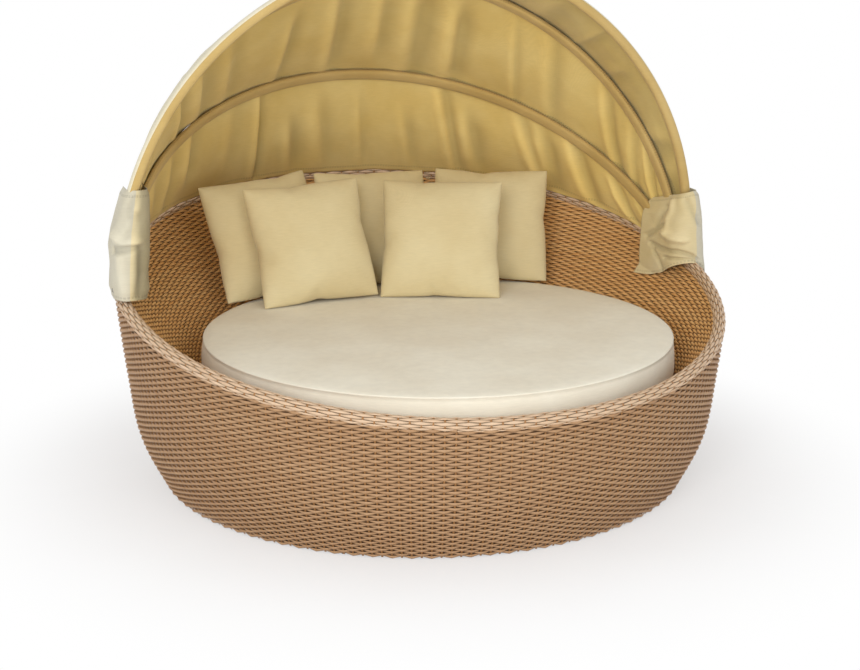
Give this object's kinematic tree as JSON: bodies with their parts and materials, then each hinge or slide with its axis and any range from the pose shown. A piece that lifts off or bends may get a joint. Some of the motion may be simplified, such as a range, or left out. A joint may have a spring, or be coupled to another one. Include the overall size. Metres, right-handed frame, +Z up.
{
  "type": "outdoor daybed with canopy",
  "caption": "Round woven outdoor daybed with a low front, a high back, a mattress, loose pillows and a folding hooped canopy.",
  "frame": {"origin": "centre of the base on the floor, at the flat bottom of the centre glide", "axes": "+Z up, -Y towards the open front, +X to the right-hand side of someone who looks at the back from the front"},
  "size_m": [1.8594, 1.8069, 1.5075],
  "materials": {
    "weave_outside": "satin woven strand",
    "weave_inside": "satin woven strand",
    "weave_border": "satin woven strand",
    "frame_tube": "powder coated",
    "slat_wood": "sawn",
    "glide_rubber": "matt",
    "mattress_cover": "plain woven cloth",
    "pillow_cover": "plain woven cloth",
    "pivot_steel": "satin",
    "canopy_cloth": "plain woven cloth"
  },
  "bodies": {
    "basket": {"outer_weave": "weave_outside", "inner_weave": "weave_inside", "rim_tube": "frame_tube", "rim_border": "weave_border", "base_ring": "frame_tube", "base_glide_1": "glide_rubber", "base_glide_2": "glide_rubber", "base_glide_3": "glide_rubber", "base_glide_4": "glide_rubber", "base_glide_5": "glide_rubber", "wall_rib_1": "frame_tube", "wall_rib_2": "frame_tube", "wall_rib_3": "frame_tube", "wall_rib_4": "frame_tube", "wall_rib_5": "frame_tube", "wall_rib_6": "frame_tube", "wall_rib_7": "frame_tube", "wall_rib_8": "frame_tube", "wall_rib_9": "frame_tube", "wall_rib_10": "frame_tube", "deck_ring": "frame_tube", "deck_beam_1": "frame_tube", "deck_beam_2": "frame_tube", "deck_beam_3": "frame_tube", "deck_slat_1": "slat_wood", "deck_slat_2": "slat_wood", "deck_slat_3": "slat_wood", "deck_slat_4": "slat_wood", "deck_slat_5": "slat_wood", "deck_slat_6": "slat_wood", "deck_weave": "weave_inside", "centre_leg": "frame_tube", "centre_glide": "glide_rubber", "mattress": "mattress_cover", "pillow_front_left": "pillow_cover", "pillow_front_right": "pillow_cover", "pillow_back_centre": "pillow_cover", "pillow_back_left": "pillow_cover", "pillow_back_right": "pillow_cover", "right_pivot_bracket": "pivot_steel", "right_pivot_bolt": "pivot_steel", "right_lock_nut": "pivot_steel", "right_pivot_washer_1": "pivot_steel", "right_pivot_washer_2": "pivot_steel", "left_pivot_bracket": "pivot_steel", "left_pivot_bolt": "pivot_steel", "left_lock_nut": "pivot_steel", "left_pivot_washer_1": "pivot_steel", "left_pivot_washer_2": "pivot_steel", "rear_canopy_panel": "canopy_cloth", "right_corner_flap": "canopy_cloth", "left_corner_flap": "canopy_cloth", "hem_tie_1": "canopy_cloth", "hem_tie_2": "canopy_cloth", "hem_tie_3": "canopy_cloth"},
    "rear_hoop": {"rear_bow": "frame_tube", "mid_canopy_panel": "canopy_cloth"},
    "mid_hoop": {"mid_bow": "frame_tube", "front_canopy_panel": "canopy_cloth"},
    "front_hoop": {"front_bow": "frame_tube"}
  },
  "joints": [
    {"name": "rear_hoop_fold", "type": "hinge", "parent": "basket", "child": "rear_hoop", "pos_m": [0, 0, 0.60505], "axis": [-1, 0, 0], "range_deg": [0, 24], "deforming": ["rear_canopy_panel", "right_corner_flap", "left_corner_flap"]},
    {"name": "mid_hoop_fold", "type": "hinge", "parent": "rear_hoop", "child": "mid_hoop", "pos_m": [0, 0, 0.60505], "axis": [-1, 0, 0], "range_deg": [0, 30], "deforming": ["mid_canopy_panel"]},
    {"name": "front_hoop_fold", "type": "hinge", "parent": "mid_hoop", "child": "front_hoop", "pos_m": [0, 0, 0.60505], "axis": [-1, 0, 0], "range_deg": [0, 19], "deforming": ["front_canopy_panel"]}
  ]
}
